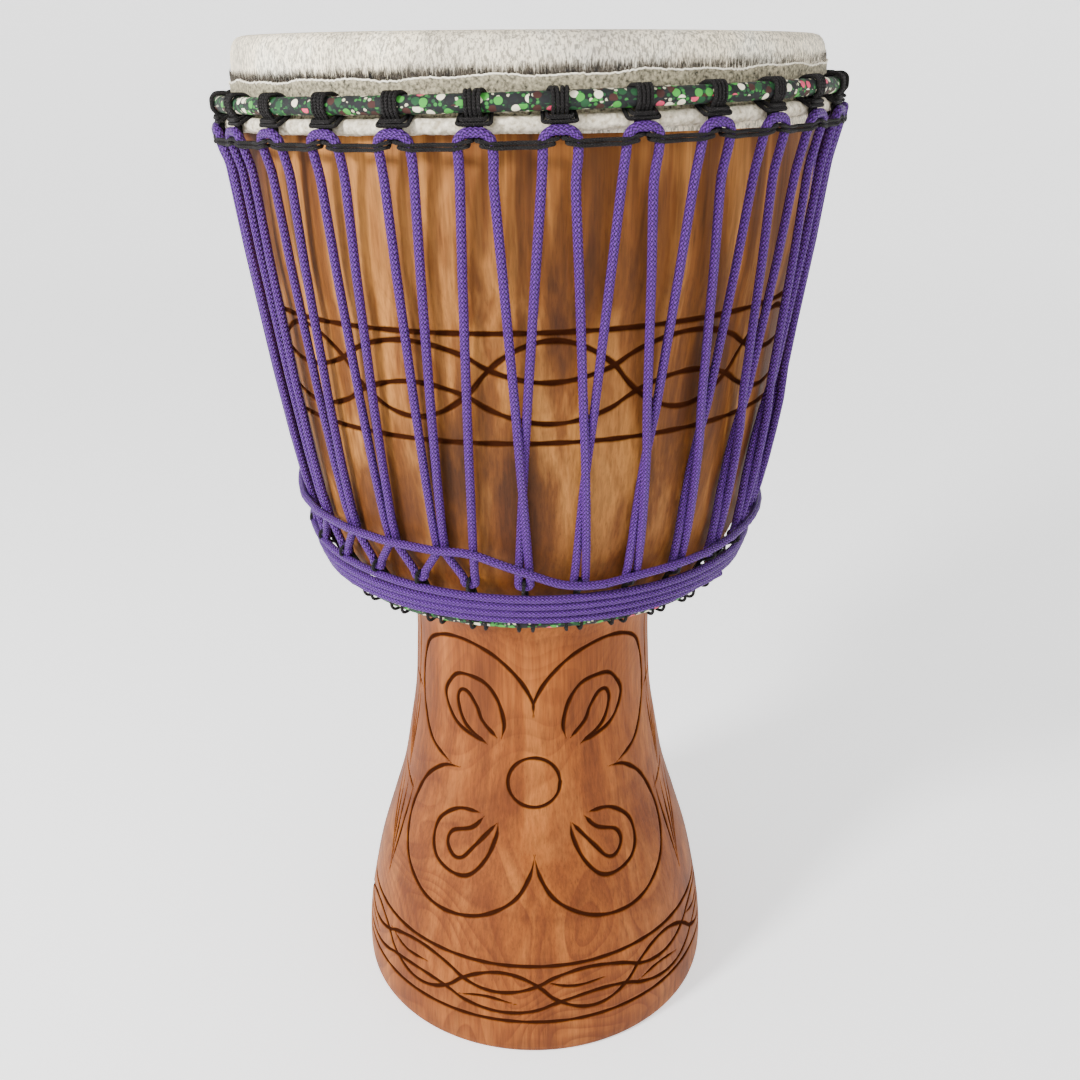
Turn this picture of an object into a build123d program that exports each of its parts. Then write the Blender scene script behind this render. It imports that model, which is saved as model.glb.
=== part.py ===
from build123d import *
import math
import os

os.makedirs("parts", exist_ok=True)

# A rope-tuned goblet drum (djembe). Millimetres, +Z up, origin on the floor under the foot's centre,
# the carved flower faces -Y. Angles are measured from the front (-Y) towards +X.

# ---------- driving dimensions ----------
TOTAL_HEIGHT = 610.0
WOOD_TOP = 608.3                # top of the rounded bearing edge
SKIN = 1.0                      # goatskin thickness
RING_TILT = 1.5                 # the hand-pulled ring pair sits higher on the +X side, degrees
TILT_HEIGHT = 580.0             # height on the axis about which that tilt turns

CROWN_R, CROWN_Z = 166.3, 581.9     # crown ring centre line
FLESH_R, FLESH_Z = 162.7, 572.7     # flesh ring centre line
BOTTOM_R, BOTTOM_Z = 117.5, 313.2   # bottom ring centre line
RING_ROD = 3.25                     # steel rod radius of the crown and bottom rings
FLESH_ROD = 2.5                     # steel rod radius of the flesh ring
CLOTH_IN, CLOTH_OUT = 3.3, 4.1      # cloth sleeve radii

ROPE = 2.2                      # tension rope radius
CORD = 0.88                     # radius of the thin cradle cord, which is laid double
STATIONS = 29                   # hitches round the crown ring
FIRST_STATION = 4.4             # angle of the station nearest the front
STEP = 360.0 / STATIONS
ARCH_HALF = 7.65                # half the distance between the two legs of an arch
ARCH_TOP = 570.3                # rope centre height at the top of an arch
ARCH_R = 170.8                  # rope centre radius at the top of an arch
ARCH_SIDE_R, ARCH_SIDE_Z = 167.9, 559.5     # rope centre at the foot of an arch
LEG_TOP = 549.0                 # height where the legs run straight
U_HALF = 3.05                   # half the distance between two legs at a bottom loop
U_R, U_Z = 134.6, 341.7         # rope centre at the lowest point of a bottom loop
WOVEN = range(-7, -1)           # stations whose two legs are pulled together by the woven rope
WEAVE_Z = 362.0
PINCH_HALF = 2.3                # half the distance between two pulled-together legs

# outside of the wooden shell, radius at height, from the foot up
OUTSIDE = [(118.2, 0), (120.5, 3.5), (120.5, 18), (118.8, 36), (116.1, 53), (109.0, 87), (99.0, 120),
           (89.6, 151), (83.5, 183), (78.6, 213), (76.5, 244), (75.8, 262), (76.4, 276), (79.5, 287),
           (86.0, 296), (95.0, 303.5), (105.0, 310.5), (113.2, 318.2), (120.5, 327), (126.0, 337.5),
           (130.0, 349), (133.5, 362), (138.0, 388), (143.5, 423), (150.5, 480), (154.5, 506), (157.2, 540),
           (157.8, 565), (157.8, 596)]
# inside of the shell, from the rim down to the foot
INSIDE = [(150.0, 600), (147.0, 573), (141.0, 506), (130.0, 438), (117.0, 375), (97.0, 325), (72.0, 300),
          (58.0, 283), (56.5, 240), (60.0, 190), (70.0, 140), (84.0, 90), (95.0, 45), (104.0, 0)]


# ---------- helpers ----------
def on_drum(angle, radius, height, sideways=0.0):
    """A point at an angle round the drum, shifted sideways by an arc length."""
    turn = math.radians(angle) + sideways / radius
    return Vector(radius * math.sin(turn), -radius * math.cos(turn), height)


def tilted(point):
    """The same point carried by the slightly tilted ring pair."""
    turn = math.radians(RING_TILT)
    up = point.Z - TILT_HEIGHT
    return Vector(point.X * math.cos(turn) - up * math.sin(turn), point.Y,
                  TILT_HEIGHT + point.X * math.sin(turn) + up * math.cos(turn))


def rounded_path(points, radii):
    """Straight runs joined by tangent arcs; radii holds one bend radius for each inner point."""
    edges = []
    start = points[0]
    for i in range(1, len(points) - 1):
        corner = points[i]
        back = (points[i - 1] - corner).normalized()
        onward = (points[i + 1] - corner).normalized()
        half = math.acos(max(-1.0, min(1.0, back.dot(onward)))) / 2
        if math.degrees(math.pi / 2 - half) < 0.3:
            continue
        room = 0.49 * min((points[i - 1] - corner).length, (points[i + 1] - corner).length)
        setback = min(radii[i - 1] / math.tan(half), room)
        bend = setback * math.tan(half)
        middle = corner + (back + onward).normalized() * (bend / math.sin(half) - bend)
        first = corner + back * setback
        last = corner + onward * setback
        if (first - start).length > 0.002:
            edges.append(Edge.make_line(start, first))
        edges.append(Edge.make_three_point_arc(first, middle, last))
        start = last
    edges.append(Edge.make_line(start, points[-1]))
    return Wire(edges)


def tube(points, radii, radius):
    """A round cord swept along a rounded path."""
    wire = rounded_path(points, radii)
    first = wire.edges()[0]
    section = Plane(origin=first @ 0, z_dir=first % 0) * Circle(radius)
    solid = sweep(section, path=wire)
    return solid, wire.length


def share_of_ideal(solid, radius, length):
    """Swept volume over section times length: 1.0 when the sweep is sound."""
    return round(solid.volume / (math.pi * radius ** 2 * length), 4)


def revolved(points):
    """A ring-shaped solid turned from an outline of (radius, height) points."""
    outline = Polyline(*[(r, 0, z) for r, z in points], close=True)
    return revolve(make_face(outline), axis=Axis.Z)


def torus_sleeve(radius, height, inner, outer):
    """A closed sleeve round a ring rod."""
    place = Plane(origin=(radius, 0, height), x_dir=(1, 0, 0), z_dir=(0, -1, 0))
    section = place * (Circle(outer) - Circle(inner)) if inner else place * Circle(outer)
    return revolve(section, axis=Axis.Z)


TILT = (Location((0, 0, TILT_HEIGHT)) * Location((0, 0, 0), (0, -RING_TILT, 0))
        * Location((0, 0, -TILT_HEIGHT)))
lengths = {}


def save(shape, node):
    export_step(shape, "parts/" + node + ".step")
    print(node, "volume", round(shape.volume, 1))


# ---------- wooden shell: carved from one log, open right through ----------
outer_line = Spline(*[(r, 0, z) for r, z in OUTSIDE[1:]])
rim_peak = (153.2, 0, WOOD_TOP)
rim = Spline((157.8, 0, 596), (156.6, 0, 605.0), rim_peak, (150.4, 0, 603.5), (150.0, 0, 600))
inner_line = Spline(*[(r, 0, z) for r, z in INSIDE])
foot_edge = Line((104.0, 0, 0), (118.2, 0, 0))
foot_round = Line((118.2, 0, 0), (120.5, 0, 3.5))
section = make_face(Wire([outer_line, rim, inner_line, foot_edge, foot_round]))
shell = revolve(section, axis=Axis.Z)
# four scribed lines: two on the bowl, which lean a little, and two round the foot
for height, radius, lean in ((479.7, 150.6, -1.1), (423.4, 143.6, -0.6), (65.4, 113.8, 0), (25.4, 119.9, 0)):
    scribe = Location((0, 0, height), (0, lean, 0)) * Torus(radius + 0.5, 1.2)
    shell = shell - scribe
save(shell, "wooden_shell")

# ---------- goatskin head: membrane, skirt, roll round the flesh ring and trimmed collar ----------
skirt_in, skirt_out = 158.1, 158.1 + SKIN
top_low = WOOD_TOP + 0.15
membrane = revolved([(0, top_low), (153.6, top_low), (156.2, top_low - 1.6), (157.8, top_low - 5.0),
                     (skirt_in, top_low - 9), (skirt_in, 567.5), (skirt_out, 567.5),
                     (skirt_out, top_low - 8.6), (158.8, top_low - 4.2), (157.0, top_low - 0.2),
                     (154.0, TOTAL_HEIGHT), (0, TOTAL_HEIGHT)])
roll_in, roll_out = FLESH_ROD + 0.05, FLESH_ROD + 0.05 + SKIN
roll = torus_sleeve(FLESH_R, FLESH_Z, roll_in, roll_out)
slit = revolved([(FLESH_R - 1.6, FLESH_Z + 1.2), (FLESH_R - 2.9, FLESH_Z + 3.4),
                 (FLESH_R - 4.4, FLESH_Z + 2.6), (FLESH_R - 2.4, FLESH_Z + 0.6)])
collar = revolved([(FLESH_R - 1.6, FLESH_Z + 3.0), (159.35, FLESH_Z + 6.2), (159.35, 591.6), (160.15, 591.6),
                   (160.15, FLESH_Z + 6.6), (FLESH_R - 0.6, FLESH_Z + 3.3)])
bridge = revolved([(158.6, FLESH_Z - 2.0), (158.6, FLESH_Z + 0.2), (FLESH_R - 2.9, FLESH_Z + 0.2),
                   (FLESH_R - 2.6, FLESH_Z - 1.6)])
head = membrane + TILT * ((roll - slit) + collar + bridge)
save(head, "goatskin_head")

# ---------- steel rings and their cloth sleeves ----------
save(TILT * torus_sleeve(FLESH_R, FLESH_Z, 0, FLESH_ROD), "flesh_ring")
save(TILT * torus_sleeve(CROWN_R, CROWN_Z, 0, RING_ROD), "crown_ring")
save(TILT * torus_sleeve(CROWN_R, CROWN_Z, CLOTH_IN, CLOTH_OUT), "crown_ring_cloth")
save(torus_sleeve(BOTTOM_R, BOTTOM_Z, 0, RING_ROD), "bottom_ring")
save(torus_sleeve(BOTTOM_R, BOTTOM_Z, CLOTH_IN, CLOTH_OUT), "bottom_ring_cloth")

# ---------- cradle cord of the crown ring: one doubled cord, a cow hitch at each station ----------
# Each route is listed for the left half of one station as (sideways, radius, height, bend radius).
# It rises through the arch and in front of the roll, passes over the crown ring, comes out below it and
# crosses in front of itself; the right half mirrors it.
WRAP = CLOTH_OUT + CORD + 0.07


def hitch_half(across, out, through_z, run_z, band_z, band_r):
    return [(-9.0, 171.3, run_z, 2.5),
            (-across, 171.6, through_z, 1.4),
            (-across, 167.45, through_z, 1.4),
            (-across, 167.45, 572.0, 2.0),
            (-across, 168.9, 577.0, 2.0),
            (-across, CROWN_R + WRAP, 580.0, 2.0),
            (-across, CROWN_R + WRAP, CROWN_Z + WRAP, WRAP),
            (-across - 1.2, CROWN_R - WRAP, CROWN_Z + WRAP, WRAP),
            (-out, CROWN_R - WRAP, CROWN_Z - 3.6, WRAP),
            (-out - 0.8, band_r, band_z, 1.1)]


def whole_hitch(half):
    """The route of one strand past one station, from mid run to mid run."""
    run_z = half[0][2]
    near = 0.5 * STEP
    left = [on_drum(-near, 168.6, run_z)]
    points = left + [on_drum(0, r, z, t) for t, r, z, _ in half]
    points += [on_drum(0, r, z, -t) for t, r, z, _ in reversed(half)]
    points += [on_drum(near, 168.6, run_z)]
    radii = [b for _, _, _, b in half]
    return points, radii + list(reversed(radii))


strands = [hitch_half(2.85, 6.65, 564.8, 563.65, 573.6, 169.8),
           hitch_half(0.95, 4.75, 567.0, 565.55, 575.5, 170.4)]
cradle = []
lengths["crown cradle cord"] = 0.0
for half in strands:
    points, radii = whole_hitch(half)
    one, long = tube(points, radii, CORD)
    lengths["crown cradle cord"] += long * STATIONS
    print("hitch strand tube volume / section x length", share_of_ideal(one, CORD, long))
    for k in range(STATIONS):
        turn = Location((0, 0, 0), (0, 0, FIRST_STATION + k * STEP))
        cradle.append(TILT * turn * one)
save(Compound(cradle), "crown_cradle_cord")

# ---------- cradle cord of the bottom ring: a turn round the ring, up to the rope loop and back ----------
GRIP = ROPE + CORD + 0.1


def bottom_half(across):
    """Left half of one strand: run, full turn round the ring, then up towards the rope loop."""
    return [(-across - 3.4, BOTTOM_R + 5.2, BOTTOM_Z + 2.0, 1.6),
            (-across - 2.8, BOTTOM_R + 5.1, BOTTOM_Z - WRAP - 0.05, WRAP),
            (-across - 2.0, BOTTOM_R - WRAP - 0.05, BOTTOM_Z - WRAP - 0.05, WRAP),
            (-across - 1.0, BOTTOM_R - WRAP - 0.05, BOTTOM_Z + WRAP + 0.05, WRAP),
            (-across, BOTTOM_R + 1.8, BOTTOM_Z + WRAP + 0.35, 1.6)]


half = bottom_half(1.1)
near = 0.5 * STEP
points = [on_drum(-near, BOTTOM_R + 5.0, BOTTOM_Z + 2.0)]
points += [on_drum(0, r, z, t) for t, r, z, _ in half]
points += [on_drum(0, 129.0, 335.6, -1.0), on_drum(0, U_R + GRIP + 0.6, U_Z - 1.8, -0.6),
           on_drum(0, U_R + GRIP, U_Z + GRIP + 0.2, -0.1), on_drum(0, U_R - GRIP, U_Z + GRIP + 0.2, 0.1),
           on_drum(0, U_R - GRIP - 0.2, U_Z - 1.8, 0.6), on_drum(0, 129.0, 335.6, 1.0)]
points += [on_drum(0, r, z, -t) for t, r, z, _ in reversed(half)]
points += [on_drum(near, BOTTOM_R + 5.0, BOTTOM_Z + 2.0)]
bends = [b for _, _, _, b in half]
radii = bends + [2.0, 2.0, 2.9, 2.9, 2.0, 2.0] + list(reversed(bends))
one, long = tube(points, radii, CORD)
print("bottom hitch tube volume / section x length", share_of_ideal(one, CORD, long))
lengths["bottom cradle cord"] = long * STATIONS
loops = []
for k in range(STATIONS):
    turn = Location((0, 0, 0), (0, 0, FIRST_STATION + (k + 0.5) * STEP))
    loops.append(turn * one)
save(Compound(loops), "bottom_cradle_cord")

# ---------- tension rope: one long rope, one node for each up-and-down span ----------
# centre line of a leg, radius at height, from under the arch down to the bottom loop
LEG = [(164.9, 549), (160.0, 506), (150.9, 438), (148.0, 418), (144.8, 399), (141.9, 380), (139.6, 365),
       (136.6, 350)]
# how far the front leg stands out, and the rear leg in, where two legs cross
CROSS = [0, 0, 0.3, 1.95, 2.3, 1.95, 1.15, 0.2]


def is_woven(k):
    return (k + 14) % STATIONS - 14 in WOVEN


def leg_points(k, side):
    """One leg of span k from the top down; side is -1 for the left leg and +1 for the right leg."""
    angle = FIRST_STATION + k * STEP
    loop = side * 0.5 * STEP
    crossed = not is_woven(k) and not is_woven(k + side)
    top_turn = side * math.degrees(ARCH_HALF / ARCH_R)
    end_shift = side * math.degrees(U_HALF / U_R) * (1 if crossed else -1)
    points = []
    if is_woven(k):
        pinch = side * math.degrees(PINCH_HALF / 138.5)
        for radius, height in LEG[:3] + [(145.0, 400), (140.3, 374)]:
            part = (LEG_TOP - height) / (LEG_TOP - WEAVE_Z - 4)
            points.append(on_drum(angle + top_turn + (pinch - top_turn) * min(part, 1), radius, height))
        points.append(on_drum(angle + pinch, 137.6, WEAVE_Z + 2))
        points.append(on_drum(angle + pinch, 137.0, WEAVE_Z - 3))
    else:
        for (radius, height), apart in zip(LEG, CROSS):
            part = (LEG_TOP - height) / (LEG_TOP - 345.0)
            turn = top_turn + (loop + end_shift - top_turn) * min(part, 1)
            points.append(on_drum(angle + turn, radius + (side * apart if crossed else 0), height))
    points.append(on_drum(angle + loop + end_shift, U_R + 0.4, U_Z + 3.4))
    points.append(on_drum(angle + loop + end_shift, U_R, U_Z))
    points.append(on_drum(angle + loop, U_R, U_Z))
    return points


lengths["tension rope"] = 0.0
for number in range(STATIONS):
    k = number - 14
    angle = FIRST_STATION + k * STEP
    left = leg_points(k, -1)
    right = leg_points(k, 1)
    arch = [on_drum(angle, ARCH_SIDE_R, ARCH_SIDE_Z, -ARCH_HALF), on_drum(angle, ARCH_R, ARCH_TOP, -ARCH_HALF),
            on_drum(angle, ARCH_R, ARCH_TOP, ARCH_HALF), on_drum(angle, ARCH_SIDE_R, ARCH_SIDE_Z, ARCH_HALF)]
    arch = [tilted(point) for point in arch]
    points = list(reversed(left)) + arch + right
    leg_bends = [60.0] * (len(left) - 3) + [8.0, 2.8]
    radii = list(reversed(leg_bends)) + [20.0, 7.3, 7.3, 20.0] + leg_bends
    span, long = tube(points, radii, ROPE)
    lengths["tension rope"] += long
    if number % 7 == 0:
        print("span", number, "tube volume / section x length", share_of_ideal(span, ROPE, long))
    save(span, "tension_rope_%02d" % (number + 1))

# ---------- woven rope: pulls the legs together into a row of diamonds, then drops to the waist ----------
WEAVE_R = 137.3 + 2 * ROPE + 0.25
points = [on_drum(FIRST_STATION - 8 * STEP - 1, 141.8, WEAVE_Z + 15),
          on_drum(FIRST_STATION - 7.5 * STEP, WEAVE_R, 367)]
for k in WOVEN:
    points.append(on_drum(FIRST_STATION + k * STEP, WEAVE_R + 0.3, WEAVE_Z))
points += [on_drum(-13.0, 143.2, 363.4), on_drum(-6.5, 142.6, 357.5), on_drum(0.5, 141.9, 351.0),
           on_drum(6.0, 140.6, 345.0), on_drum(11.5, 140.0, 343.0), on_drum(16.0, 140.0, 343.2)]
weave, long = tube(points, [60.0] * (len(points) - 2), ROPE)
lengths["woven rope"] = long
save(weave, "diamond_weave_rope")

# ---------- spare rope wound round the waist over the bottom loops ----------
points = [on_drum(16.0, 140.0, 343.2)]
# (angle, radius, height) of the first turn, then radius and height at the start of each lower one
turns = [(40, 140.6, 347.0), (66, 141.0, 350.8), (92, 140.8, 350.0), (120, 140.0, 346.5),
         (150, 139.4, 344.0), (180, 139.2, 343.2), (210, 139.2, 343.0), (240, 139.0, 342.0),
         (270, 138.0, 340.2), (300, 137.0, 338.4), (330, 135.6, 336.0), (358, 134.6, 334.2)]
LAYERS = [(134.6, 334.2), (133.1, 329.4), (131.4, 324.7), (129.3, 320.1)]
for layer in range(3):
    (r0, z0), (r1, z1) = LAYERS[layer], LAYERS[layer + 1]
    for part in range(1, 13):
        share = part / 12.0
        turns.append((358 + 360 * layer + 30 * part, r0 + (r1 - r0) * share, z0 + (z1 - z0) * share))
turns += [(358 + 1080 + 30, 128.7, 318.6), (358 + 1080 + 62, 127.9, 317.2)]
points += [on_drum(a, r / math.cos(math.radians(13 if a < 358 else 15)), z) for a, r, z in turns[:-1]]
points.append(on_drum(*turns[-1]))
wraps, long = tube(points, [131.0] * (len(points) - 2), ROPE)
lengths["waist rope"] = long
print("waist rope tube volume / section x length", share_of_ideal(wraps, ROPE, long))
save(wraps, "waist_wrap_rope")

for name, value in lengths.items():
    print(name, "length", round(value), "mm")
print("bend radii used (mm): arches 7.3, bottom loops 2.8, legs 60, hitches 1.1 to %.2f, waist 131" % WRAP)
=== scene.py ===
import math
import bpy
import numpy as np
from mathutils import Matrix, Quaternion, Vector


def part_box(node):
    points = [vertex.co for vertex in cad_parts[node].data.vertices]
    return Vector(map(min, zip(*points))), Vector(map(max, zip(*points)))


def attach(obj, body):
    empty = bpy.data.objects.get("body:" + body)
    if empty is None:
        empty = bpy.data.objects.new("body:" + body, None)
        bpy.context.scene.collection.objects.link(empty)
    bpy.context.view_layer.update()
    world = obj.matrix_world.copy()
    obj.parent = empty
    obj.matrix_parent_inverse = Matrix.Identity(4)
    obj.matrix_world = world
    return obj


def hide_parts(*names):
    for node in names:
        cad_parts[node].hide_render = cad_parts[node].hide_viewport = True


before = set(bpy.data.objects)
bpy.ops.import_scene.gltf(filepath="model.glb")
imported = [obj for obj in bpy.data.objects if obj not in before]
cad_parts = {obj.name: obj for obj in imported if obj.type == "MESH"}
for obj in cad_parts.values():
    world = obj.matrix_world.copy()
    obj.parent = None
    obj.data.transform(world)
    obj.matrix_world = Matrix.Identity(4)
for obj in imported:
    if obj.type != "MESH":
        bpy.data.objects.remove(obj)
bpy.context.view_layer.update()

# A rope-tuned goblet drum. Lengths below are in millimetres and become metres in Mesher.finish.
# Angles are degrees from the front (-Y) towards +X.


def box_mm(node):
    low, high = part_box(node)
    return np.array(low) * 1000, np.array(high) * 1000


# ---------- sizes: rings, head and shell top read from the imported model, the rest given ---
RING_ROD, FLESH_ROD = 3.25, 2.5
crown_low, crown_high = box_mm("crown_ring")
CROWN_R = crown_high[1] - RING_ROD
CROWN_Z = (crown_low[2] + crown_high[2]) / 2
TILT = math.asin((crown_high[2] - crown_low[2] - 2 * RING_ROD) / (2 * CROWN_R))
flesh_low, flesh_high = box_mm("flesh_ring")
FLESH_R = flesh_high[1] - FLESH_ROD
FLESH_Z = (flesh_low[2] + flesh_high[2]) / 2
bottom_low, bottom_high = box_mm("bottom_ring")
BOTTOM_R = bottom_high[1] - RING_ROD
BOTTOM_Z = (bottom_low[2] + bottom_high[2]) / 2
TOP = box_mm("goatskin_head")[1][2]
WOOD_TOP = box_mm("wooden_shell")[1][2]
TILT_HEIGHT = 580.0
CLOTH = 4.1
ROPE = 2.2
CORD = 0.88
STATIONS = 29
FIRST_STATION = 4.4
STEP = 360.0 / STATIONS
ARCH_HALF, ARCH_TOP, ARCH_R, LEG_TOP = 7.65, 570.3, 170.8, 549.0
ARCH_SIDE_R, ARCH_SIDE_Z = 167.9, 559.5
U_HALF, U_R, U_Z = 3.05, 134.6, 341.7
WOVEN = range(-7, -1)
WEAVE_Z = 362.0
PINCH_HALF = 2.3

OUTSIDE = [(118.2, 0), (120.5, 3.5), (120.5, 18), (118.8, 36), (116.1, 53), (109.0, 87), (99.0, 120),
           (89.6, 151), (83.5, 183), (78.6, 213), (76.5, 244), (75.8, 262), (76.4, 276), (79.5, 287),
           (86.0, 296), (95.0, 303.5), (105.0, 310.5), (113.2, 318.2), (120.5, 327), (126.0, 337.5),
           (130.0, 349), (133.5, 362), (138.0, 388), (143.5, 423), (150.5, 480), (154.5, 506), (157.2, 540),
           (157.8, 565), (157.8, 596)]
INSIDE = [(150.0, 600), (147.0, 573), (141.0, 506), (130.0, 438), (117.0, 375), (97.0, 325), (72.0, 300),
          (58.0, 283), (56.5, 240), (60.0, 190), (70.0, 140), (84.0, 90), (95.0, 45), (104.0, 0)]


# ---------- meshes ----------
class Mesher:
    """Collects grids of points into one mesh, with an along / around map in millimetres and turns."""

    def __init__(self):
        self.points, self.quads, self.tris = [], [], []
        self.quad_map, self.tri_map = [], []
        self.values = []
        self.count = 0

    def grid(self, points, along, closed=False, caps=False, value=None):
        rows, cols = points.shape[:2]
        index = np.arange(rows * cols).reshape(rows, cols) + self.count
        around = np.arange(cols + 1) / cols
        along = np.asarray(along, float)
        ring = np.hstack([index, index[:, :1]])
        if closed:
            ring = np.vstack([ring, ring[:1]])
            along = np.append(along, 2 * along[-1] - along[-2])
        corners = [ring[:-1, :-1], ring[:-1, 1:], ring[1:, 1:], ring[1:, :-1]]
        self.quads.append(np.stack(corners, -1).reshape(-1, 4))
        lengthwise, turn = np.meshgrid(along, around, indexing="ij")
        pair = np.stack([lengthwise, turn], -1)
        corners = [pair[:-1, :-1], pair[:-1, 1:], pair[1:, 1:], pair[1:, :-1]]
        self.quad_map.append(np.stack(corners, -2).reshape(-1, 4, 2))
        self.points.append(points.reshape(-1, 3))
        self.values.append(np.zeros(rows * cols) if value is None else value.reshape(-1))
        self.count += rows * cols
        if caps:
            for row, flip in ((0, True), (rows - 1, False)):
                centre = self.count
                self.points.append(points[row].mean(0)[None])
                self.values.append(np.zeros(1))
                self.count += 1
                edge = index[row]
                fan = np.stack([np.full(cols, centre), edge, np.roll(edge, -1)], -1)
                self.tris.append(fan[:, ::-1] if flip else fan)
                self.tri_map.append(np.zeros((cols, 3, 2)))

    def finish(self, name, material, replaces=(), value_name=None):
        points = np.concatenate(self.points)
        quads = np.concatenate(self.quads) if self.quads else np.zeros((0, 4), int)
        tris = np.concatenate(self.tris) if self.tris else np.zeros((0, 3), int)
        mesh = bpy.data.meshes.new(name)
        mesh.vertices.add(len(points))
        mesh.vertices.foreach_set("co", (points * 0.001).astype(np.float32).ravel())
        mesh.loops.add(len(quads) * 4 + len(tris) * 3)
        order = np.concatenate([quads.ravel(), tris.ravel()])
        mesh.loops.foreach_set("vertex_index", order.astype(np.int32))
        mesh.polygons.add(len(quads) + len(tris))
        starts = np.concatenate([np.arange(len(quads)) * 4, len(quads) * 4 + np.arange(len(tris)) * 3])
        mesh.polygons.foreach_set("loop_start", starts.astype(np.int32))
        mesh.polygons.foreach_set("use_smooth", np.ones(len(starts), bool))
        layer = mesh.uv_layers.new(name="UVMap")
        maps = [m.reshape(-1, 2) for m in self.quad_map + self.tri_map]
        layer.data.foreach_set("uv", np.concatenate(maps).astype(np.float32).ravel())
        if value_name:
            data = mesh.attributes.new(value_name, "FLOAT", "POINT")
            data.data.foreach_set("value", np.concatenate(self.values).astype(np.float32))
        mesh.update(calc_edges=True)
        mesh.materials.append(material)
        piece = bpy.data.objects.new(name, mesh)
        bpy.context.scene.collection.objects.link(piece)
        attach(piece, "root")
        if replaces:
            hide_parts(*replaces)
        return piece


def on_drum(angle, radius, height, sideways=0.0):
    turn = math.radians(angle) + sideways / radius
    return np.array([radius * math.sin(turn), -radius * math.cos(turn), height])


def tilted(points):
    """Carries points with the slightly tilted ring pair."""
    points = np.array(points, float)
    x, up = points[..., 0].copy(), points[..., 2] - TILT_HEIGHT
    points[..., 0] = x * math.cos(TILT) - up * math.sin(TILT)
    points[..., 2] = TILT_HEIGHT + x * math.sin(TILT) + up * math.cos(TILT)
    return points


def rounded_route(points, radii, spacing):
    """Samples straight runs joined by tangent arcs, evenly spaced."""
    points = [np.asarray(p, float) for p in points]
    out = [points[0]]
    for i in range(1, len(points) - 1):
        corner = points[i]
        back = points[i - 1] - corner
        onward = points[i + 1] - corner
        room = 0.49 * min(np.linalg.norm(back), np.linalg.norm(onward))
        back /= np.linalg.norm(back)
        onward /= np.linalg.norm(onward)
        half = math.acos(max(-1.0, min(1.0, float(back @ onward)))) / 2
        if math.pi / 2 - half < 0.005:
            continue
        setback = min(radii[i - 1] / math.tan(half), room)
        bend = setback * math.tan(half)
        inward = (back + onward) / np.linalg.norm(back + onward)
        centre = corner + inward * bend / math.sin(half)
        first = corner + back * setback - centre
        last = corner + onward * setback - centre
        sweep = math.pi - 2 * half
        for t in np.linspace(0, 1, max(3, int(sweep / 0.12) + 2)):
            mixed = first * math.sin((1 - t) * sweep) + last * math.sin(t * sweep)
            out.append(centre + mixed / math.sin(sweep))
    out.append(points[-1])
    out = np.array(out)
    gaps = np.linalg.norm(np.diff(out, axis=0), axis=1)
    out = out[np.append(True, gaps > 1e-6)]
    run = np.append(0, np.cumsum(np.linalg.norm(np.diff(out, axis=0), axis=1)))
    steps = np.linspace(0, run[-1], max(4, int(run[-1] / spacing)))
    return np.stack([np.interp(steps, run, out[:, k]) for k in range(3)], -1), steps


def tube_grid(route, radius, sides):
    """Rings of points along a route, carried along without twisting."""
    ahead = np.gradient(route, axis=0)
    ahead /= np.linalg.norm(ahead, axis=1)[:, None]
    side = np.cross(ahead[0], [0.3, 0.2, 1.0])
    side /= np.linalg.norm(side)
    sides_at = np.empty_like(route)
    for i, forward in enumerate(ahead):
        side = side - forward * (side @ forward)
        side /= np.linalg.norm(side)
        sides_at[i] = side
    other = np.cross(ahead, sides_at)
    angle = np.arange(sides) / sides * 2 * math.pi
    size = np.broadcast_to(np.asarray(radius, float), (len(route),))
    cos, sin = np.cos(angle)[None, :, None], np.sin(angle)[None, :, None]
    ring = cos * sides_at[:, None] + sin * other[:, None]
    return route[:, None] + ring * size[:, None, None]


# ---------- materials ----------
def rgb(red, green, blue):
    """Screen colour 0-255 to linear light."""
    out = []
    for value in (red, green, blue):
        value /= 255.0
        out.append(value / 12.92 if value <= 0.04045 else ((value + 0.055) / 1.055) ** 2.4)
    return (*out, 1.0)


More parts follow.
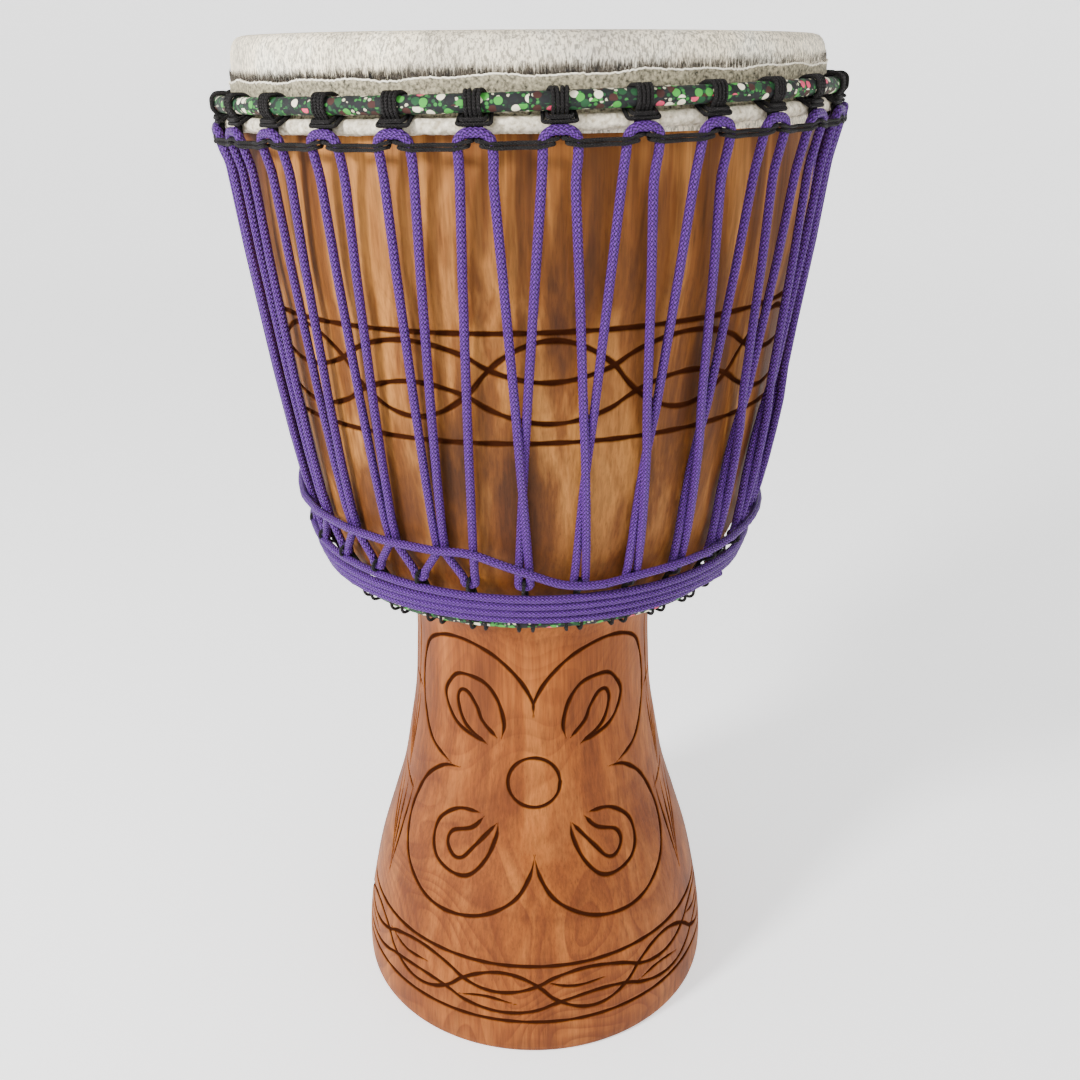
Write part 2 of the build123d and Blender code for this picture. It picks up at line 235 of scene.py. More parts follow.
class Paint:
    """A procedural material, with short ways to add and join nodes."""

    def __init__(self, name, roughness, metallic=0.0):
        self.material = bpy.data.materials.new(name)
        self.material.use_nodes = True
        self.tree = self.material.node_tree
        self.shader = self.tree.nodes["Principled BSDF"]
        self.shader.inputs["Roughness"].default_value = roughness
        self.shader.inputs["Metallic"].default_value = metallic

    def node(self, kind, settings=None, **inputs):
        made = self.tree.nodes.new(kind)
        for key, value in (settings or {}).items():
            setattr(made, key, value)
        for key, value in inputs.items():
            self.put(made.inputs[key.replace("_", " ")], value)
        return made

    def put(self, socket, value):
        if isinstance(value, bpy.types.NodeSocket):
            self.tree.links.new(value, socket)
        else:
            socket.default_value = value

    def math(self, operation, a, b=0.0, clamp=False):
        made = self.tree.nodes.new("ShaderNodeMath")
        made.operation = operation
        made.use_clamp = clamp
        self.put(made.inputs[0], a)
        self.put(made.inputs[1], b)
        return made.outputs[0]

    def mix(self, factor, a, b, blend="MIX"):
        made = self.tree.nodes.new("ShaderNodeMix")
        made.data_type = "RGBA"
        made.blend_type = blend
        self.put(made.inputs[0], factor)
        self.put(made.inputs[6], a)
        self.put(made.inputs[7], b)
        return made.outputs[2]

    def ramp(self, factor, stops):
        made = self.tree.nodes.new("ShaderNodeValToRGB")
        ramp = made.color_ramp
        for i, (place, colour) in enumerate(stops):
            stop = ramp.elements[i] if i < 2 else ramp.elements.new(place)
            stop.position = place
            stop.color = colour if hasattr(colour, "__len__") else (colour, colour, colour, 1)
        self.put(made.inputs[0], factor)
        return made.outputs[0]

    def position(self, x=1.0, y=1.0, z=1.0):
        where = self.tree.nodes.new("ShaderNodeTexCoord").outputs["Object"]
        scaled = self.node("ShaderNodeVectorMath", {"operation": "MULTIPLY"})
        self.put(scaled.inputs[0], where)
        scaled.inputs[1].default_value = (x, y, z)
        return scaled.outputs[0]

    def noise(self, where, scale, detail=4.0, rough=0.5, distortion=0.0):
        made = self.node("ShaderNodeTexNoise", Scale=scale, Detail=detail, Roughness=rough,
                         Distortion=distortion)
        self.put(made.inputs["Vector"], where)
        return made.outputs["Fac"]

    def colour(self, socket):
        self.put(self.shader.inputs["Base Color"], socket)

    def bump(self, height, strength, distance):
        made = self.node("ShaderNodeBump", Strength=strength, Distance=distance, Height=height)
        self.put(self.shader.inputs["Normal"], made.outputs[0])


def wood_paint():
    paint = Paint("carved_wood", 0.5)
    height = paint.node("ShaderNodeSeparateXYZ", Vector=paint.position()).outputs["Z"]
    fibre = paint.noise(paint.position(1, 1, 0.04), 620, 5, 0.65)
    broad = paint.noise(paint.position(1, 1, 0.10), 42, 4, 0.6, 0.5)
    # on the bowl this broad vertical figure is wood figure, with its dark bands deepened as painted shade
    # standing in for the dark bands of rope shadows
    bowl = paint.ramp(broad, [(0.36, rgb(72, 38, 11)), (0.5, rgb(112, 65, 22)), (0.64, rgb(172, 114, 54))])
    stem = paint.ramp(broad, [(0.32, rgb(98, 48, 12)), (0.5, rgb(127, 67, 20)), (0.68, rgb(154, 90, 36))])
    above_waist = paint.math("MULTIPLY", paint.math("SUBTRACT", height, 0.30), 5.0, True)
    upper = paint.ramp(above_waist, [(0.0, 0.0), (0.5, 1.0)])
    ground = paint.mix(upper, stem, bowl)
    # growth rings: thin darker lines that bend round slow swells, strongest low on the foot
    swell = paint.noise(paint.position(0.9, 0.9, 0.8), 6.5, 2, 0.45, 0.6)
    rings = paint.math("FRACT", paint.math("MULTIPLY", swell, 34.0))
    low = paint.ramp(height, [(0.10, 0.85), (0.34, 0.16)])
    ring_line = paint.math("MULTIPLY", paint.ramp(rings, [(0.3, 0.0), (0.9, 1.0), (0.99, 0.0)]), low)
    ground = paint.mix(paint.math("MULTIPLY", ring_line, 0.58), ground, rgb(84, 34, 6))
    cloudy = paint.noise(paint.position(0.6, 0.6, 1.6), 13, 4, 0.6, 1.0)
    patches = paint.ramp(cloudy, [(0.5, 0.0), (0.64, 0.4)])
    ground = paint.mix(paint.math("MULTIPLY", patches, low), ground, rgb(70, 28, 4))
    # painted shade: the bowl is darkened just above the rope turns, on its lower part that faces downwards
    painted_shade_above_turns = paint.ramp(height, [(0.33, 1.0), (0.345, 0.6), (0.45, 1.0)])
    ground = paint.mix(1.0, ground, painted_shade_above_turns, "MULTIPLY")
    grain = paint.ramp(fibre, [(0.36, 0.66), (0.62, 1.0)])
    ground = paint.mix(0.9, ground, grain, "MULTIPLY")
    pores = paint.ramp(paint.noise(paint.position(1, 1, 0.03), 1500, 2, 0.5), [(0.3, 0.66), (0.42, 1.0)])
    ground = paint.mix(0.7, ground, pores, "MULTIPLY")
    cut = paint.node("ShaderNodeAttribute", {"attribute_name": "groove"}).outputs["Fac"]
    # painted shade: the carved grooves are coloured darker the deeper they are cut
    ground = paint.mix(paint.ramp(cut, [(0.05, 0.0), (0.45, 1.0)]), ground, rgb(44, 19, 7))
    paint.colour(ground)
    paint.put(paint.shader.inputs["Roughness"], paint.ramp(cut, [(0.05, 0.58), (0.3, 1.0)]))
    paint.put(paint.shader.inputs["Specular IOR Level"], paint.ramp(cut, [(0.05, 0.16), (0.3, 0.02)]))
    paint.bump(paint.math("ADD", fibre, paint.math("MULTIPLY", pores, 0.5)), 0.35, 0.0004)
    return paint.material


def rope_paint(name, dark, light, strands, pitch, roughness):
    """Braid: strands cross at two slants and pass over and under each other by turns."""
    paint = Paint(name, roughness)
    uv = paint.node("ShaderNodeUVMap", {"uv_map": "UVMap"}).outputs[0]
    split = paint.node("ShaderNodeSeparateXYZ", Vector=uv)
    along = paint.math("DIVIDE", split.outputs["X"], pitch)
    around = paint.math("MULTIPLY", split.outputs["Y"], float(strands))
    one = paint.math("ADD", around, along)
    two = paint.math("SUBTRACT", around, along)
    sum_cells = paint.math("ADD", paint.math("FLOOR", one), paint.math("FLOOR", two))
    over = paint.math("FLOORED_MODULO", sum_cells, 2.0)
    place_one = paint.math("FRACT", one)
    place_two = paint.math("FRACT", two)
    place = paint.math("ADD", paint.math("MULTIPLY", over, place_one),
                       paint.math("MULTIPLY", paint.math("SUBTRACT", 1.0, over), place_two))
    bulge = paint.math("SINE", paint.math("MULTIPLY", place, math.pi))
    # painted shade: each strand is dark at its edges, where it dips under its neighbours, and light on its
    # crown; the strands of one slant are darkened further
    colour = paint.ramp(bulge, [(0.15, dark), (0.9, light)])
    lit = paint.mix(paint.math("MULTIPLY", over, 0.3), colour, dark)
    paint.colour(lit)
    paint.shader.inputs["Specular IOR Level"].default_value = 0.3
    paint.bump(bulge, 1.0, 0.0008)
    return paint.material


def skin_paint():
    paint = Paint("goatskin", 0.72)
    speck = paint.noise(paint.position(1, 1, 0.35), 900, 4, 0.75)
    patch = paint.noise(paint.position(), 14, 4, 0.6)
    fine = paint.noise(paint.position(1, 1, 1), 260, 4, 0.65)
    x = paint.node("ShaderNodeSeparateXYZ", Vector=paint.position())
    # the goat's darker spine crosses the head a little off centre
    spine = paint.math("ABSOLUTE", paint.math("SUBTRACT", x.outputs["X"], 0.028))
    near_spine = paint.ramp(spine, [(0.0, 0.8), (0.055, 0.0)])
    pale = paint.ramp(patch, [(0.34, rgb(200, 190, 168)), (0.5, rgb(252, 238, 208)),
                              (0.62, rgb(255, 248, 226))])
    base = paint.mix(paint.math("MULTIPLY", near_spine, 0.55), pale, rgb(132, 130, 132))
    marks = paint.ramp(speck, [(0.43, 0.12), (0.54, 1.0)])
    base = paint.mix(0.78, base, marks, "MULTIPLY")
    base = paint.mix(paint.ramp(fine, [(0.3, 0.35), (0.5, 0.0)]), base, rgb(150, 142, 130))
    paint.colour(base)
    paint.bump(speck, 0.4, 0.0004)
    return paint.material


def plain_paint(name, low, high, scale, roughness, strength=0.4):
    paint = Paint(name, roughness)
    mottle = paint.noise(paint.position(), scale, 5, 0.6)
    paint.colour(paint.ramp(mottle, [(0.32, low), (0.68, high)]))
    paint.bump(mottle, strength, 0.0005)
    return paint.material


def cloth_paint():
    """Printed cotton: dark ground, small green stones, larger green, pale, brown and pink spots."""
    paint = Paint("printed_cloth", 0.85)
    uv = paint.node("ShaderNodeUVMap", {"uv_map": "UVMap"}).outputs[0]
    flat = paint.node("ShaderNodeVectorMath", {"operation": "MULTIPLY"})
    paint.put(flat.inputs[0], uv)
    flat.inputs[1].default_value = (1.0, 2 * math.pi * CLOTH, 1.0)
    big = paint.node("ShaderNodeTexVoronoi", {"voronoi_dimensions": "2D"}, Scale=0.19, Randomness=0.75)
    paint.put(big.inputs["Vector"], flat.outputs[0])
    small = paint.node("ShaderNodeTexVoronoi", {"voronoi_dimensions": "2D"}, Scale=0.46, Randomness=0.9)
    paint.put(small.inputs["Vector"], flat.outputs[0])
    pick = paint.node("ShaderNodeSeparateColor", Color=big.outputs["Color"]).outputs[0]
    spot_colour = paint.ramp(pick, [(0.0, rgb(52, 140, 44)), (0.22, rgb(3, 6, 10)), (0.52, rgb(14, 64, 30)),
                                    (0.66, rgb(224, 216, 190)), (0.82, rgb(52, 16, 8)),
                                    (0.95, rgb(206, 56, 92))])
    spot_colour.node.color_ramp.interpolation = "CONSTANT"
    spot = paint.ramp(big.outputs["Distance"], [(0.34, 1.0), (0.38, 0.0)])
    dots = paint.ramp(small.outputs["Distance"], [(0.33, 1.0), (0.4, 0.0)])
    tone = paint.node("ShaderNodeSeparateColor", Color=small.outputs["Color"]).outputs[0]
    stones = paint.ramp(tone, [(0.0, rgb(4, 26, 14)), (0.35, rgb(14, 70, 30)), (0.66, rgb(36, 112, 40)),
                               (0.88, rgb(190, 186, 156))])
    stones.node.color_ramp.interpolation = "CONSTANT"
    ground = paint.mix(dots, rgb(2, 3, 6), stones)
    paint.colour(paint.mix(spot, ground, spot_colour))
    weave = paint.noise(paint.position(), 2600, 2, 0.6)
    paint.bump(weave, 0.35, 0.0003)
    return paint.material


WOOD = wood_paint()
PURPLE = rope_paint("tension_rope", rgb(7, 2, 18), rgb(90, 34, 138), 8, 2.3, 0.62)
BLACK = rope_paint("black_cord", rgb(2, 2, 2), rgb(20, 14, 13), 5, 1.3, 0.8)
SKIN = skin_paint()
ROLL = plain_paint("skin_roll", rgb(148, 136, 112), rgb(236, 226, 204), 420, 0.85, 0.8)
COLLAR = plain_paint("skin_collar", rgb(34, 32, 24), rgb(176, 166, 136), 620, 0.85, 0.8)
EDGE = plain_paint("skin_cut_edge", rgb(214, 204, 178), rgb(252, 246, 228), 400, 0.8, 0.4)
HAIR = plain_paint("goat_hair", rgb(24, 21, 18), rgb(96, 86, 72), 300, 0.8, 0.1)
CLOTH_PAINT = cloth_paint()
STEEL = plain_paint("ring_steel", rgb(96, 96, 98), rgb(128, 128, 130), 60, 0.42, 0.1)
STEEL.node_tree.nodes["Principled BSDF"].inputs["Metallic"].default_value = 0.9


# ---------- the carved shell ----------
def smooth_line(points, spacing):
    """A smooth open line through points (Catmull-Rom), sampled at about the given spacing."""
    points = np.array(points, float)
    padded = np.vstack([2 * points[0] - points[1], points, 2 * points[-1] - points[-2]])
    out = []
    for i in range(1, len(padded) - 2):
        p0, p1, p2, p3 = padded[i - 1:i + 3]
        count = max(2, int(np.linalg.norm((p2 - p1)[-2:]) / spacing))
        for t in np.arange(count) / count:
            out.append(0.5 * (2 * p1 + (p2 - p0) * t + (2 * p0 - 5 * p1 + 4 * p2 - p3) * t * t
                              + (3 * p1 - p0 - 3 * p2 + p3) * t ** 3))
    out.append(points[-1])
    return np.array(out)


FINE, COARSE = 0.7, 4.0
profile = smooth_line(OUTSIDE, 0.4)
heights = np.concatenate([np.arange(0, 3.5, 0.7), np.arange(3.5, 290, FINE), np.arange(290, 416, 3.0),
                          np.arange(416, 488, FINE), np.arange(488, 596.1, COARSE)])
order = np.argsort(profile[:, 1])
outer_radius = np.interp(heights, profile[order, 1], profile[order, 0])
rim = smooth_line([(157.8, 597.5), (156.9, 604.2), (153.2, WOOD_TOP), (150.6, 604.2), (150.1, 601)], 1.2)
inner = smooth_line(INSIDE, 6.0)
COLUMNS = 1100
theta = np.arange(COLUMNS) / COLUMNS * 360.0 - 180.0


def radius_at(height):
    return float(np.interp(height, heights, outer_radius))


groove = np.zeros((len(heights), COLUMNS))


def carve(points, width=1.7, smooth=True, taper=0.25):
    """Stamps a gouge along a line of (angle, height) points; the ends thin out."""
    line = np.array(points, float)
    flat = line.copy()
    flat[:, 0] *= math.radians(1) * radius_at(line[:, 1].mean())
    if smooth and len(points) > 2:
        flat = smooth_line(flat, 0.35)
    run = np.append(0, np.cumsum(np.linalg.norm(np.diff(flat, axis=0), axis=1)))
    steps = np.arange(0, run[-1], 0.3)
    across = np.interp(steps, run, flat[:, 0]) / (math.radians(1) * radius_at(line[:, 1].mean()))
    up = np.interp(steps, run, flat[:, 1])
    share = steps / run[-1]
    thin = np.clip(np.minimum(share, 1 - share) / taper, 0.25, 1) if taper else np.ones(len(steps))
    thin = thin * (1 + 0.16 * np.sin(steps * 0.31 + up[0]) * np.sin(steps * 0.093 + across[0]))
    for angle, height, factor in zip(across, up, thin):
        reach = width * factor
        low, high = np.searchsorted(heights, [height - reach, height + reach])
        if high <= low:
            continue
        around = math.radians(1) * np.interp(height, heights, outer_radius)
        half = int(reach / (around * 360 / COLUMNS)) + 1
        middle = int(round((angle + 180) / 360 * COLUMNS))
        columns = np.arange(middle - half, middle + half + 1)
        sideways = (columns * 360 / COLUMNS - 180 - angle) * around
        rows = slice(low, high)
        away = np.hypot(sideways[None, :], (heights[rows] - height)[:, None])
        depth = np.clip(1 - away / reach, 0, 1) * min(1.0, 0.35 + 0.65 * factor)
        spot = np.ix_(np.arange(low, high), columns % COLUMNS)
        groove[spot] = np.maximum(groove[spot], depth)


def mirrored(points):
    return [(-a, z) for a, z in points]


# the flower on the front, and the same on the back: four petals, a round heart and a leaf in each petal
PETAL_UP = [(-0.2, 227), (-0.3, 237), (-7, 253), (-19, 267.5), (-34, 274), (-48, 271), (-60, 260), (-65, 240),
            (-64, 218), (-54, 196), (-38.6, 185.5)]
PETAL_LOW = [(-34, 186), (-44, 182), (-55, 166), (-61, 140), (-57, 114), (-46, 98), (-34, 92), (-20, 95),
             (-8, 107), (-2.2, 122), (0.3, 137)]
LEAF_UP = [[(-21.2, 206), (-38, 215), (-45.3, 231), (-42, 243), (-35.8, 249.5), (-24, 248), (-17, 238),
            (-13.6, 222), (-14.7, 211)],
           [(-21.3, 206), (-33, 216), (-37.5, 230), (-36, 238), (-31.7, 238), (-27, 230), (-24, 221),
            (-16.6, 211)]]
LEAF_LOW = [[(-22, 160), (-33, 158.5), (-42, 147), (-43.5, 133), (-40, 122), (-32, 117), (-25, 119),
             (-19, 131), (-15.5, 146), (-14.9, 156)],
            [(-21, 158), (-26, 149), (-34.5, 143), (-36.3, 135), (-33, 128), (-28.8, 128.5), (-24, 138),
             (-15.5, 155)]]
for turn in (0.0, 180.0):
    for shape in [PETAL_UP, PETAL_LOW] + LEAF_UP + LEAF_LOW:
        for line in (shape, mirrored(shape)):
            carve([(a + turn, z) for a, z in line], 1.7, taper=0.06)
    heart = []
    for t in np.linspace(0, 2 * math.pi, 17):
        heart.append((turn + 11.3 * math.cos(t), 183.5 + 16.2 * math.sin(t)))
    carve(heart, 1.5, taper=0)
# panels between the flowers: pairs of long uprights and two fans of straight cuts
for middle in (-90.0, 90.0):
    for side in (-1, 1):
        carve([(middle + side * 20, 282), (middle + side * 17, 206)], 1.2, smooth=False)
        carve([(middle + side * 12, 282), (middle + side * 10, 206)], 1.2, smooth=False)
        carve([(middle + side * 24, 222), (middle + side * 6, 232)], 1.2, smooth=False)
        for blade in range(4):
            start = middle + side * (20 - 5 * blade)
            carve([(start, 222 - 3 * blade), (middle + side * 18, 160)], 1.3, smooth=False, taper=0.4)
            carve([(middle + side * (26 - 7 * blade), 158), (middle + side * 24, 84 + 4 * blade)], 1.4,
                  smooth=False, taper=0.4)
        carve([(middle + side * 28, 150), (middle + side * 8, 161)], 1.2, smooth=False)


def lean(angle, height, tilt):
    """The hand-scribed lines lean a little towards +X."""
    return height + math.sin(math.radians(angle)) * radius_at(height) * math.tan(math.radians(tilt))


def scribe(height, tilt, width):
    carve([(a, lean(a, height, tilt)) for a in np.linspace(-180, 180, 73)], width, taper=0)


scribe(479.7, 1.1, 1.8)
scribe(423.4, 0.6, 1.8)
scribe(65.4, 0.0, 1.7)
scribe(25.4, 0.0, 1.7)


def interlaced(waves, eyes, first_eye, tilt, width, wobble):
    """Waves that cross between the eyes; each wave is (height over one eye, height over the next)."""
    pitch = 360.0 / eyes
    for number, (over, under) in enumerate(waves):
        wave = []
        for a in np.arange(-180, 180.1, pitch / 12):
            swing = math.cos(math.pi * (a - first_eye) / pitch)
            swing = math.copysign(abs(swing) ** 0.8, swing)
            height = (over + under) / 2 + (over - under) / 2 * swing
            height += wobble * math.sin(math.radians(a) * 7 + 2 * number)
            wave.append((a, lean(a, height, tilt)))
        carve(wave, width, taper=0)


# an odd count of eyes round the bowl: the seam falls at the back
interlaced([(454.6, 475.0), (475.5, 436.0), (434.0, 453.5)], 13, 4.2, 0.9, 1.8, 0.5)
# the plait round the foot, with two short cuts beside every other eye
interlaced([(47.0, 60.0), (59.0, 34.0), (31.0, 43.5)], 12, -12.0, 0.0, 1.7, 1.2)
for start in range(-180, 180, 60):
    carve([(start + 2, 55), (start + 12, 50), (start + 24, 51.5)], 1.3, taper=0.3)
    carve([(start + 34, 38), (start + 44, 41.5), (start + 55, 38)], 1.3, taper=0.3)

DEPTH = 1.25
row_radius = np.concatenate([outer_radius, rim[:, 0], inner[:, 0]])
row_height = np.concatenate([heights, rim[:, 1], inner[:, 1]])
depth = np.zeros((len(row_radius), COLUMNS))
depth[:len(heights)] = groove
# tool marks and a hand-carved unevenness on the outside
angle_grid = np.radians(theta)[None, :]
uneven = (0.25 * np.sin(3 * angle_grid + row_height[:, None] / 70) * np.sin(row_height[:, None] / 45)
          + 0.12 * np.sin(11 * angle_grid - row_height[:, None] / 33))
edge = np.clip(np.minimum(row_height, 590 - row_height) / 30, 0, 1)[:, None]
solid_radius = row_radius[:, None] - depth * DEPTH + uneven * edge * 0.6
shell_points = np.stack([solid_radius * np.sin(angle_grid), -solid_radius * np.cos(angle_grid),
                         np.broadcast_to(row_height[:, None], solid_radius.shape)], -1)
shell = Mesher()
shell.grid(shell_points, np.cumsum(np.full(len(row_radius), FINE)), closed=True, value=depth)
shell.finish("carved_shell", WOOD, ("wooden_shell",), "groove")


# ---------- goatskin: membrane and skirt, roll round the flesh ring, trimmed collar ----------
def turned(profile, columns, wobble=0.0, seed=0, lift=0.0, carried=False):
    """A closed ring turned from a loop of (radius, height) points that runs up its outer side."""
    profile = np.array(profile, float)
    angle = np.radians(np.arange(columns) / columns * 360)[None, :]
    local = np.random.default_rng(seed)
    radius = np.broadcast_to(profile[:, :1], (len(profile), columns)).copy()
    height = np.broadcast_to(profile[:, 1:2], (len(profile), columns)).copy()
    for count in (5, 9, 17, 31, 53, 89):
        phase = local.uniform(0, 6.28, 2)
        radius += wobble * np.sin(count * angle + phase[0]) * 0.4 * (profile[:, :1] > 20)
        height += lift * np.sin(count * angle + phase[1]) * 0.45
    points = np.stack([radius * np.sin(angle), -radius * np.cos(angle), height], -1)
    return tilted(points) if carried else points


head = Mesher()
skin_loop = [(159.1, 568.5), (159.1, 580), (159.1, 590), (159.1, 598.5), (158.7, 602.0), (157.9, 605.2),
             (156.6, 607.6), (154.8, 609.2), (152.5, TOP - 0.12), (149, TOP - 0.03), (140, TOP), (110, TOP),
             (70, TOP), (30, TOP), (4, TOP), (0.4, TOP), (0.02, TOP), (0.02, WOOD_TOP + 0.3),
             (0.4, WOOD_TOP + 0.3), (70, WOOD_TOP + 0.3), (152, WOOD_TOP + 0.3),
             (155.5, WOOD_TOP - 0.9), (157.5, WOOD_TOP - 5), (158.0, 598), (158.0, 568.5)]
head.grid(turned(skin_loop, 720), np.arange(len(skin_loop)), closed=True)
head.finish("goatskin_membrane", SKIN, ("goatskin_head",))

roll = Mesher()
angles = np.linspace(0, 2 * math.pi, 21)[:-1]
roll_loop = [(FLESH_R + 3.5 * math.cos(a), FLESH_Z + 3.5 * math.sin(a)) for a in angles]
roll_points = turned(roll_loop, 1100, 0.12, 3)
puff = np.random.default_rng(5).normal(0, 0.16, roll_points.shape[:2])
puff = (puff + np.roll(puff, 1, 1) + np.roll(puff, -1, 1)) / 1.7
centre_ring = turned([(FLESH_R, FLESH_Z)] * len(roll_loop), 1100, 0.12, 3)
outward = roll_points - centre_ring
outward /= np.linalg.norm(outward, axis=-1)[..., None]
roll.grid(tilted(roll_points + outward * puff[..., None]), np.arange(len(roll_loop)), closed=True)
roll.finish("goatskin_roll", ROLL)

collar = Mesher()
collar_loop = [(FLESH_R - 0.8, FLESH_Z + 2.6), (160.3, FLESH_Z + 6.4), (160.15, 585), (160.3, 590.6),
               (160.6, 592.2), (159.7, 592.4), (159.4, 590.5), (159.3, 585), (159.4, FLESH_Z + 6),
               (FLESH_R - 1.9, FLESH_Z + 2.4)]
collar_points = turned(collar_loop, 1100, 0.05, 11)
edge_wave = 0.55 * np.sin(np.radians(theta) * 13) + 0.4 * np.sin(np.radians(theta) * 31 + 1)
nick = np.random.default_rng(2).normal(0, 0.18, COLUMNS)
for row in (3, 4, 5, 6):
    collar_points[row, :, 2] += edge_wave + nick
collar.grid(tilted(collar_points), np.arange(len(collar_loop)), closed=True)
collar.finish("goatskin_collar", COLLAR)

cut_edge = Mesher()
lip = []
for a in np.linspace(0, 2 * math.pi, 9)[:-1]:
    lip.append((160.25 + 0.5 * math.cos(a), 592.1 + 0.45 * math.sin(a)))
lip_points = turned(lip, 1100, 0.05, 11)
lip_points[..., 2] += edge_wave + nick
cut_edge.grid(tilted(lip_points), np.arange(len(lip)), closed=True)
cut_edge.finish("goatskin_cut_edge", EDGE)


def blades(name, count, low, high, root_radius, paint, seed, out=0.9, width=0.16):
    """Short goat hairs standing on the skin as thin tapering blades with three sides."""
    local = np.random.default_rng(seed)
    made = Mesher()
    angle = local.uniform(0, 2 * math.pi, count)
    base = local.uniform(low[0], low[1], count)
    tall = local.uniform(high[0], high[1], count)
    away = local.uniform(0.1, out, count)
    sway = local.normal(0, 0.7, count)
    root = np.stack([root_radius * np.sin(angle), -root_radius * np.cos(angle), base], -1)
    radial = np.stack([np.sin(angle), -np.cos(angle), np.zeros(count)], -1)
    side = np.stack([np.cos(angle), np.sin(angle), np.zeros(count)], -1)
    tip = root + radial * away[:, None] + side * sway[:, None] + np.array([0, 0, 1.0]) * tall[:, None]
    wide = width * local.uniform(0.6, 1.3, count)[:, None]
    corners = [root + side * wide, root - side * wide, root + radial * wide * 0.8, tip]
    points = np.stack(corners, 1).reshape(-1, 3)
    points = tilted(points)
    start = np.arange(count)[:, None] * 4
    faces = [start + np.array([[0, 2, 3]]), start + np.array([[2, 1, 3]]), start + np.array([[1, 0, 3]]),
             start + np.array([[0, 1, 2]])]
    made.points.append(points)
    made.values.append(np.zeros(len(points)))
    made.tris.append(np.concatenate(faces))
    made.tri_map.append(np.zeros((count * 4, 3, 2)))
    made.count = len(points)
    return made.finish(name, paint)


blades("hair_fringe", 12000, (589.8, 592.6), (2.4, 7.0), 159.1, HAIR, 21)


# ---------- ring sleeves: cloth wound round the rods ----------
def sleeve(name, radius, height, carried, node):
    made = Mesher()
    columns = 28
    rows = int(2 * math.pi * radius / 0.9)
    turn = np.arange(rows) / rows * 2 * math.pi
    around = np.arange(columns) / columns * 2 * math.pi
    wound = (turn[:, None] * 37 - around[None, :]) / (2 * math.pi)
    fold = wound - np.floor(wound)
    minor = CLOTH - 0.32 + 0.3 * fold ** 0.5 + 0.05 * np.sin(turn[:, None] * 211 + around[None, :] * 3)
    across = radius + minor * np.cos(around)[None, :]
    points = np.stack([across * np.sin(turn)[:, None], -across * np.cos(turn)[:, None],
                       height + minor * np.sin(around)[None, :]], -1)
    # run the grid so that its faces look outwards
    made.grid(tilted(points[:, ::-1]) if carried else points[:, ::-1], turn * radius, closed=True)
    return made.finish(name, CLOTH_PAINT, (node,))


sleeve("crown_ring_sleeve", CROWN_R, CROWN_Z, True, "crown_ring_cloth")
sleeve("bottom_ring_sleeve", BOTTOM_R, BOTTOM_Z, False, "bottom_ring_cloth")

# ---------- cradle cords ----------
WRAP = CLOTH + CORD + 0.07
GRIP = ROPE + CORD + 0.1


def hitch_half(across, out, through_z, run_z, band_z, band_r):
    """Left half of one strand past a station: (sideways, radius, height, bend radius)."""
    return [(-9.0, 171.3, run_z, 2.5), (-across, 171.6, through_z, 1.4), (-across, 167.45, through_z, 1.4),
            (-across, 167.45, 572.0, 2.0), (-across, 168.9, 577.0, 2.0),
            (-across, CROWN_R + WRAP, 580.0, 2.0), (-across, CROWN_R + WRAP, CROWN_Z + WRAP, WRAP),
            (-across - 1.2, CROWN_R - WRAP, CROWN_Z + WRAP, WRAP),
            (-out, CROWN_R - WRAP, CROWN_Z - 3.6, WRAP),
            (-out - 0.8, band_r, band_z, 1.1)]


def spin(points, angle):
    c, s = math.cos(math.radians(angle)), math.sin(math.radians(angle))
    x, y = points[..., 0].copy(), points[..., 1].copy()
    out = points.copy()
    out[..., 0] = x * c - y * s
    out[..., 1] = x * s + y * c
    return out


crown_cord = Mesher()
for strand in (hitch_half(2.85, 6.65, 564.8, 563.65, 573.6, 169.8),
               hitch_half(0.95, 4.75, 567.0, 565.55, 575.5, 170.4)):
    run_z = strand[0][2]
    points = [on_drum(-STEP / 2, 168.6, run_z)]
    points += [on_drum(0, r, z, t) for t, r, z, _ in strand]
    points += [on_drum(0, r, z, -t) for t, r, z, _ in reversed(strand)]
    points += [on_drum(STEP / 2, 168.6, run_z)]
    bends = [b for _, _, _, b in strand]
    route, steps = rounded_route(points, bends + bends[::-1], 0.65)
    cell = tube_grid(route, CORD * 1.06, 8)
    for k in range(STATIONS):
        crown_cord.grid(tilted(spin(cell, FIRST_STATION + k * STEP)), steps, caps=True)
crown_cord.finish("crown_cord", BLACK, ("crown_cradle_cord",))

half = [(-4.5, BOTTOM_R + 5.2, BOTTOM_Z + 2.0, 1.6), (-3.9, BOTTOM_R + 5.1, BOTTOM_Z - WRAP - 0.05, WRAP),
        (-3.1, BOTTOM_R - WRAP - 0.05, BOTTOM_Z - WRAP - 0.05, WRAP),
        (-2.1, BOTTOM_R - WRAP - 0.05, BOTTOM_Z + WRAP + 0.05, WRAP),
        (-1.1, BOTTOM_R + 1.8, BOTTOM_Z + WRAP + 0.35, 1.6)]
points = [on_drum(-STEP / 2, BOTTOM_R + 5.0, BOTTOM_Z + 2.0)]
points += [on_drum(0, r, z, t) for t, r, z, _ in half]
points += [on_drum(0, 129.0, 335.6, -1.0), on_drum(0, U_R + GRIP + 0.6, U_Z - 1.8, -0.6),
           on_drum(0, U_R + GRIP, U_Z + GRIP + 0.2, -0.1), on_drum(0, U_R - GRIP, U_Z + GRIP + 0.2, 0.1),
           on_drum(0, U_R - GRIP - 0.2, U_Z - 1.8, 0.6), on_drum(0, 129.0, 335.6, 1.0)]
points += [on_drum(0, r, z, -t) for t, r, z, _ in reversed(half)]
points += [on_drum(STEP / 2, BOTTOM_R + 5.0, BOTTOM_Z + 2.0)]
bends = [b for _, _, _, b in half]
